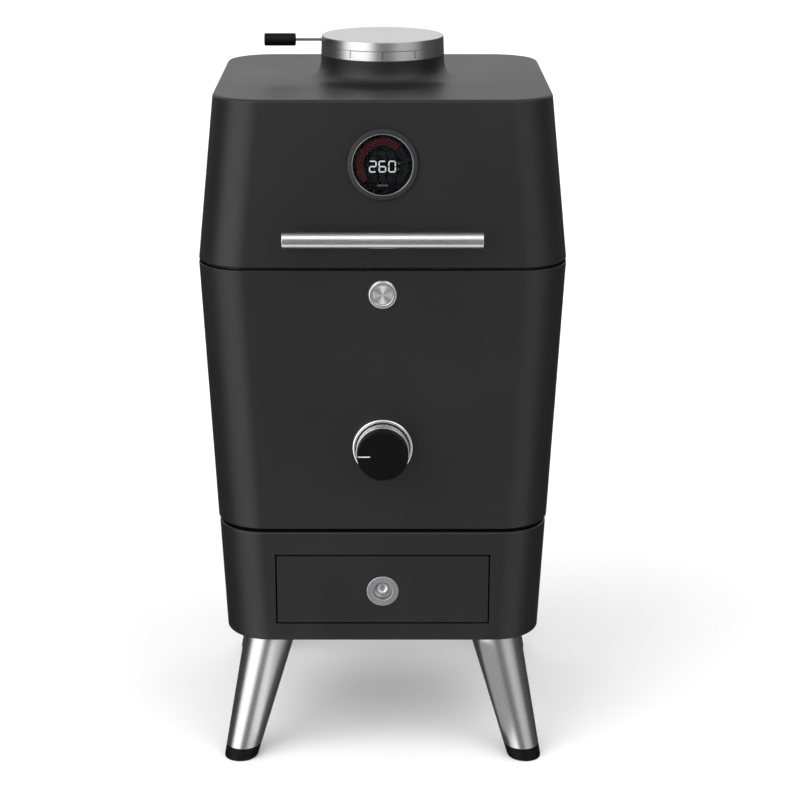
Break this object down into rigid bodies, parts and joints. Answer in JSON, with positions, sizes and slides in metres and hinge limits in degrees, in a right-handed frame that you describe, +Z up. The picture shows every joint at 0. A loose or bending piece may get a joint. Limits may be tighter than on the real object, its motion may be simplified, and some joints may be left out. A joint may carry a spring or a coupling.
{
  "type": "electric-ignition smoker oven",
  "caption": "Free-standing charcoal smoker oven with electric ignition, hinged lid, turning chimney vent, air knob, push button and ash drawer on splayed legs.",
  "frame": {"origin": "centre of the bounding box's footprint, on the floor", "axes": "+Z up, -Y towards the front with the controls, +X to the right seen from the front"},
  "size_m": [0.5696, 0.6112, 1.1612],
  "materials": {
    "painted_body": "satin graphite powder coat",
    "painted_dark": "satin black powder coat",
    "brushed_steel": "fine brushed",
    "satin_steel": "satin",
    "spun_steel": "spun, with fine rings",
    "bright_steel": "polished",
    "plain_steel": "zinc plated",
    "enamel": "gloss vitreous enamel",
    "cast_iron": "seasoned",
    "black_plastic": "matt",
    "gloss_black": "gloss",
    "white_plastic": "gloss",
    "dark_plastic": "satin",
    "gauge_glass": "clear, dark behind",
    "rubber": "matt",
    "gasket": "woven heat-proof cord look",
    "ceramic": "unglazed"
  },
  "bodies": {
    "root": {"base_shell": "painted_body", "seam_gasket": "gasket", "body_shell": "painted_body", "inner_liner": "enamel", "ash_chute": "enamel", "drawer_runners": "plain_steel", "charcoal_tray": "cast_iron", "ignition_element": "plain_steel", "element_socket": "ceramic", "heat_deflector": "enamel", "rack_shelves": "plain_steel", "lower_grate": "cast_iron", "upper_grate": "cast_iron", "leg_front_left": "satin_steel", "leg_front_right": "satin_steel", "leg_rear_left": "satin_steel", "leg_rear_right": "satin_steel", "feet": "rubber", "leg_bolts": "plain_steel", "frame_bolts": "plain_steel", "vent_ring": "brushed_steel", "vent_plate": "painted_dark", "button_bezel": "spun_steel", "button_housing": "dark_plastic", "control_box": "dark_plastic", "power_inlet": "black_plastic", "hinge_body_leaves": "painted_dark", "hinge_pins": "plain_steel", "hinge_screws_body": "plain_steel"},
    "lid": {"lid_shell": "painted_body", "lid_liner": "enamel", "lid_gasket": "gasket", "handle_bar": "brushed_steel", "handle_posts": "brushed_steel", "handle_screws": "plain_steel", "gauge_bezel": "painted_dark", "gauge_glass": "gauge_glass", "gauge_display": "gloss_black", "gauge_housing": "dark_plastic", "temperature_probe": "plain_steel", "flue_sleeve": "enamel", "vent_collar": "brushed_steel", "vent_spider": "plain_steel", "hinge_lid_leaves": "painted_dark", "hinge_screws_lid": "plain_steel"},
    "top_vent": {"vent_cap": "brushed_steel", "vent_shutter": "plain_steel", "vent_lever_rod": "satin_steel", "vent_lever_grip": "black_plastic"},
    "air_control": {"air_knob": "black_plastic", "knob_collar": "brushed_steel", "knob_shaft": "plain_steel", "air_damper": "plain_steel", "knob_pointer": "white_plastic"},
    "drawer": {"drawer_front": "painted_body", "ash_tray": "enamel", "drawer_pull": "spun_steel"},
    "button": {"ignition_button": "spun_steel", "button_spring": "plain_steel"}
  },
  "joints": [
    {"name": "lid_hinge", "type": "hinge", "parent": "root", "child": "lid", "pos_m": [0, 0.29663, 0.84], "axis": [-1, 0, 0], "range_deg": [0, 75]},
    {"name": "vent_turn", "type": "hinge", "parent": "lid", "child": "top_vent", "pos_m": [0, 0.01312, 1.15], "axis": [0, 0, 1], "range_deg": [-31, 31]},
    {"name": "air_knob_turn", "type": "hinge", "parent": "root", "child": "air_control", "pos_m": [0, -0.24239, 0.552], "axis": [0, 0.9989, 0.0468], "range_deg": [0, 90]},
    {"name": "drawer_slide", "type": "slide", "parent": "root", "child": "drawer", "axis": [0, -1, 0], "range_m": [0, 0.26]},
    {"name": "button_press", "type": "slide", "parent": "root", "child": "button", "axis": [0, 0.9989, 0.0468], "range_m": [0, 0.0025], "stiffness_N_per_m": 600, "springref_m": -0.002, "deforming": ["button_spring"]}
  ]
}
